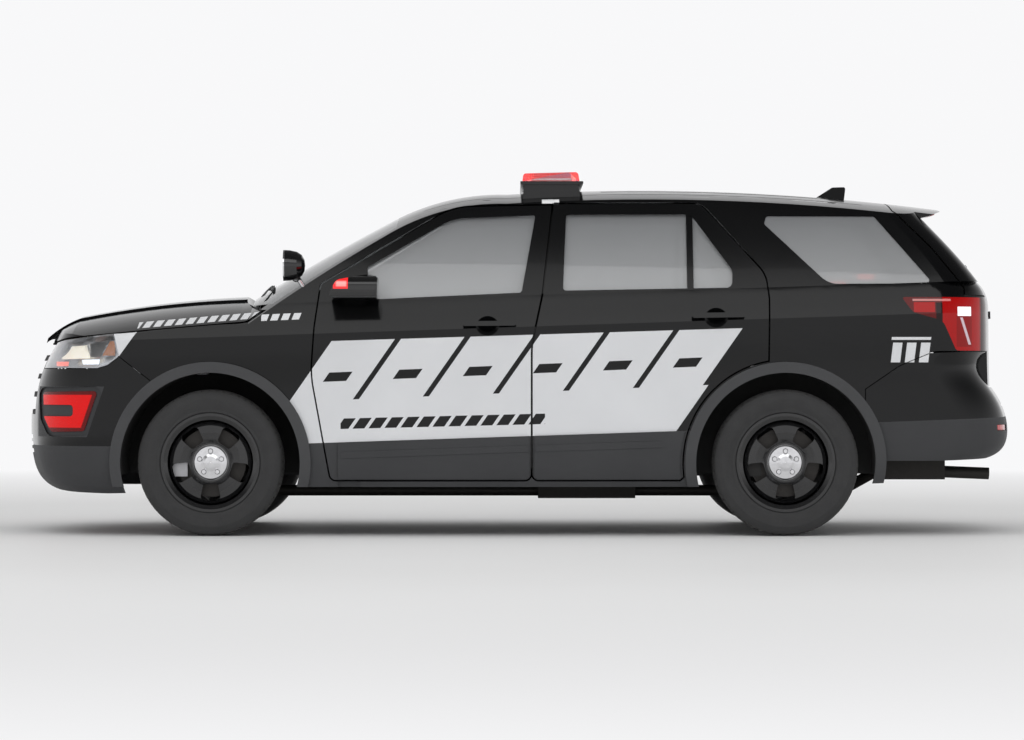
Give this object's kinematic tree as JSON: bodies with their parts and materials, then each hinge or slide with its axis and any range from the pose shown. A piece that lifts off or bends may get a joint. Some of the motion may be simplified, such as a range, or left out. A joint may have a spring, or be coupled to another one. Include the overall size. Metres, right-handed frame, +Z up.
{
  "type": "police suv",
  "caption": "Full-size police utility vehicle with hinged doors, bonnet and liftgate, steered front wheels, roof light bar and cabin.",
  "frame": {"origin": "on the floor, midway along the length, on the centreline", "axes": "+X forward, +Y to the vehicle left, +Z up"},
  "size_m": [5.0358, 2.29, 1.8246],
  "materials": {
    "bare_steel": "dull",
    "black_paint": "gloss black paint",
    "black_steel": "satin black",
    "cast_aluminium": "cast",
    "cast_iron": "machined",
    "clear_glass": "tinted",
    "gloss_black": "gloss",
    "grey_plastic": "matte grained",
    "lamp_clear": "clear lens",
    "lamp_red": "red lens",
    "lamp_reflector": "metallised plastic",
    "light_bar_shell": "smoked lens",
    "painted_steel": "underbody coat",
    "seat_fabric": "woven cloth",
    "soft_black_plastic": "grained",
    "tyre_rubber": "matte rubber"
  },
  "bodies": {
    "body": {"arch_flares": "grey_plastic", "body_side_left": "black_paint", "body_side_right": "black_paint", "dashboard": "soft_black_plastic", "engine": "cast_aluminium", "exhaust": "bare_steel", "floor_pan": "painted_steel", "front_bumper": "black_paint", "front_fenders": "black_paint", "front_seats": "seat_fabric", "front_structure": "painted_steel", "front_suspension": "painted_steel", "fuel_tank": "painted_steel", "grille": "grey_plastic", "headlamp_bowls": "lamp_reflector", "headlamps": "lamp_clear", "light_bar": "light_bar_shell", "quarter_glass": "clear_glass", "radiator": "cast_aluminium", "rear_bumper": "black_paint", "rear_seat": "seat_fabric", "rear_suspension": "painted_steel", "roof_antenna": "gloss_black", "roof_panel": "black_paint", "spotlight": "gloss_black", "tail_lamps": "lamp_red", "warning_lamps": "lamp_red", "wheel_liners": "grey_plastic", "windshield": "clear_glass"},
    "wheel_front_left": {"brake_disc_front_left": "cast_iron", "rim_front_left": "black_steel", "tyre_front_left": "tyre_rubber"},
    "wheel_front_right": {"brake_disc_front_right": "cast_iron", "rim_front_right": "black_steel", "tyre_front_right": "tyre_rubber"},
    "wheel_rear_left": {"brake_disc_rear_left": "cast_iron", "rim_rear_left": "black_steel", "tyre_rear_left": "tyre_rubber"},
    "wheel_rear_right": {"brake_disc_rear_right": "cast_iron", "rim_rear_right": "black_steel", "tyre_rear_right": "tyre_rubber"},
    "knuckle_left": {"knuckle_left": "cast_iron"},
    "knuckle_right": {"knuckle_right": "cast_iron"},
    "front_door_left": {"front_door_glass_left": "clear_glass", "front_door_left": "black_paint", "mirror_left": "gloss_black"},
    "rear_door_left": {"rear_door_glass_left": "clear_glass", "rear_door_left": "black_paint"},
    "front_door_right": {"front_door_glass_right": "clear_glass", "front_door_right": "black_paint", "mirror_right": "gloss_black"},
    "rear_door_right": {"rear_door_glass_right": "clear_glass", "rear_door_right": "black_paint"},
    "bonnet": {"bonnet": "black_paint"},
    "liftgate": {"liftgate": "black_paint", "liftgate_glass": "clear_glass"},
    "steering_wheel": {"steering_wheel": "soft_black_plastic"}
  },
  "joints": [
    {"name": "steer_left", "type": "hinge", "parent": "body", "child": "knuckle_left", "pos_m": [1.5335, 0.78, 0.3635], "axis": [0, 0, 1], "range_deg": [-35, 35]},
    {"name": "steer_right", "type": "hinge", "parent": "body", "child": "knuckle_right", "pos_m": [1.5335, -0.78, 0.3635], "axis": [0, 0, 1], "range_deg": [-35, 35]},
    {"name": "spin_front_left", "type": "hinge", "parent": "knuckle_left", "child": "wheel_front_left", "pos_m": [1.5335, 0.851, 0.3635], "axis": [0, 1, 0], "continuous": true},
    {"name": "spin_front_right", "type": "hinge", "parent": "knuckle_right", "child": "wheel_front_right", "pos_m": [1.5335, -0.851, 0.3635], "axis": [0, 1, 0], "continuous": true},
    {"name": "spin_rear_left", "type": "hinge", "parent": "body", "child": "wheel_rear_left", "pos_m": [-1.3265, 0.851, 0.3635], "axis": [0, 1, 0], "continuous": true},
    {"name": "spin_rear_right", "type": "hinge", "parent": "body", "child": "wheel_rear_right", "pos_m": [-1.3265, -0.851, 0.3635], "axis": [0, 1, 0], "continuous": true},
    {"name": "front_door_left_hinge", "type": "hinge", "parent": "body", "child": "front_door_left", "pos_m": [0.925, 0.97, 0.7], "axis": [0, 0, -1], "range_deg": [0, 68]},
    {"name": "front_door_right_hinge", "type": "hinge", "parent": "body", "child": "front_door_right", "pos_m": [0.925, -0.97, 0.7], "axis": [0, 0, 1], "range_deg": [0, 68]},
    {"name": "rear_door_left_hinge", "type": "hinge", "parent": "body", "child": "rear_door_left", "pos_m": [-0.132, 0.978, 0.7], "axis": [0, 0, -1], "range_deg": [0, 70]},
    {"name": "rear_door_right_hinge", "type": "hinge", "parent": "body", "child": "rear_door_right", "pos_m": [-0.132, -0.978, 0.7], "axis": [0, 0, 1], "range_deg": [0, 70]},
    {"name": "bonnet_hinge", "type": "hinge", "parent": "body", "child": "bonnet", "pos_m": [1.3, 0, 1.165], "axis": [0, -1, 0], "range_deg": [0, 48]},
    {"name": "liftgate_hinge", "type": "hinge", "parent": "body", "child": "liftgate", "pos_m": [-1.872, 0, 1.69], "axis": [0, 1, 0], "range_deg": [0, 85]},
    {"name": "steering_wheel_turn", "type": "hinge", "parent": "body", "child": "steering_wheel", "pos_m": [0.68, 0.37, 0.985], "axis": [-0.9025, 0, 0.4307], "range_deg": [-560, 560]}
  ],
  "couplings": [
    {"joint": "steer_right", "follows": "steer_left", "ratio": 1},
    {"joint": "steering_wheel_turn", "follows": "steer_left", "ratio": 16}
  ]
}
